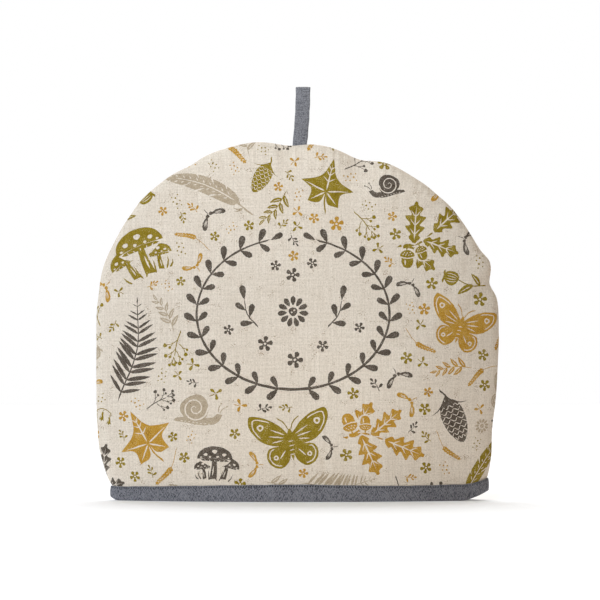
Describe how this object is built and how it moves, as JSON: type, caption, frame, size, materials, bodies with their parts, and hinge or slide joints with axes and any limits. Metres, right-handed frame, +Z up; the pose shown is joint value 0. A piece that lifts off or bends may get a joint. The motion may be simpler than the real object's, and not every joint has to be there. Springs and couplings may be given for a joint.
{
  "type": "tea cosy",
  "caption": "Padded dome-shaped tea cosy in printed natural cotton, open below, with a bound slate grey hem and a folded tape hanging loop at the top.",
  "frame": {"origin": "on the surface the cosy stands on, under the middle of the hem, halfway between front and back and between the two sides", "axes": "+Z up, X across the cosy, the front panel faces -Y"},
  "size_m": [0.35, 0.0866, 0.36],
  "materials": {
    "printed_cotton": "natural slub cotton with small brown flecks, all-over print of leaves, flowers and toadstools in olive, mustard, charcoal and taupe, matt",
    "grey_binding": "slate grey bias-cut plain weave, folded over the hem and stitched along its upper edge, matt",
    "grey_tape": "slate grey plain weave, folded to a narrow tape, matt"
  },
  "bodies": {
    "root": {"panel_front": "printed_cotton", "panel_back": "printed_cotton", "hem_binding": "grey_binding", "hanging_loop": "grey_tape"}
  },
  "joints": []
}
